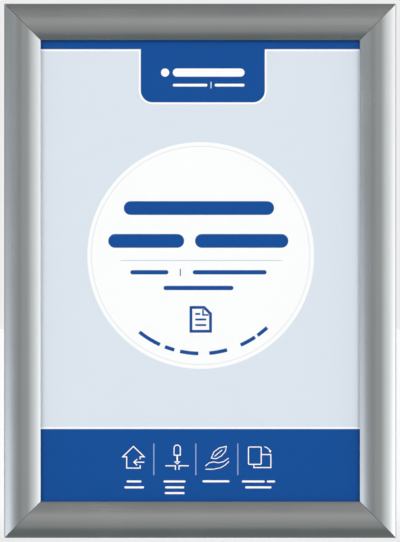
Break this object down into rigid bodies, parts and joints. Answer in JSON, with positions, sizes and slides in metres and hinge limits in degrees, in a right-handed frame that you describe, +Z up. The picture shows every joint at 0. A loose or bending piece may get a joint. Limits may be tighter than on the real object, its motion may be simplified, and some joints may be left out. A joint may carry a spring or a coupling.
{
  "type": "snap frame",
  "caption": "Slim wall-mounted poster frame: mitred front rails hinge outwards and clamp a printed sheet and its clear cover against a backing panel.",
  "frame": {"origin": "centre of the four wall screw holes, on the plane of the wall", "axes": "+Z up, +X to the right as seen from the front, +Y into the wall, so the front faces -Y"},
  "size_m": [0.24, 0.012, 0.327],
  "materials": {
    "base_aluminium": "satin anodised",
    "rail_aluminium": "satin anodised",
    "key_steel": "zinc plated",
    "spring_steel": "bright spring steel",
    "backing_plastic": "matt",
    "poster_paper": "printed",
    "cover_plastic": "clear anti-glare"
  },
  "bodies": {
    "frame": {"base_rail_top": "base_aluminium", "base_rail_right": "base_aluminium", "base_rail_bottom": "base_aluminium", "base_rail_left": "base_aluminium", "corner_key_top_left": "key_steel", "corner_key_top_right": "key_steel", "corner_key_bottom_left": "key_steel", "corner_key_bottom_right": "key_steel", "backing_panel": "backing_plastic", "poster_sheet": "poster_paper", "cover_sheet": "cover_plastic", "snap_spring_top_left": "spring_steel", "snap_spring_top_right": "spring_steel", "snap_spring_right_upper": "spring_steel", "snap_spring_right_lower": "spring_steel", "snap_spring_bottom_right": "spring_steel", "snap_spring_bottom_left": "spring_steel", "snap_spring_left_lower": "spring_steel", "snap_spring_left_upper": "spring_steel"},
    "snap_rail_top": {"snap_rail_top": "rail_aluminium"},
    "snap_rail_right": {"snap_rail_right": "rail_aluminium"},
    "snap_rail_bottom": {"snap_rail_bottom": "rail_aluminium"},
    "snap_rail_left": {"snap_rail_left": "rail_aluminium"}
  },
  "joints": [
    {"name": "top_rail_hinge", "type": "hinge", "parent": "frame", "child": "snap_rail_top", "pos_m": [0, -0.0029, 0.162], "axis": [-1, 0, 0], "range_deg": [0, 95], "deforming": ["snap_spring_top_left", "snap_spring_top_right"]},
    {"name": "right_rail_hinge", "type": "hinge", "parent": "frame", "child": "snap_rail_right", "pos_m": [0.1185, -0.0029, 0], "axis": [0, 0, 1], "range_deg": [0, 95], "deforming": ["snap_spring_right_upper", "snap_spring_right_lower"]},
    {"name": "bottom_rail_hinge", "type": "hinge", "parent": "frame", "child": "snap_rail_bottom", "pos_m": [0, -0.0029, -0.162], "axis": [1, 0, 0], "range_deg": [0, 95], "deforming": ["snap_spring_bottom_right", "snap_spring_bottom_left"]},
    {"name": "left_rail_hinge", "type": "hinge", "parent": "frame", "child": "snap_rail_left", "pos_m": [-0.1185, -0.0029, 0], "axis": [0, 0, -1], "range_deg": [0, 95], "deforming": ["snap_spring_left_lower", "snap_spring_left_upper"]}
  ]
}
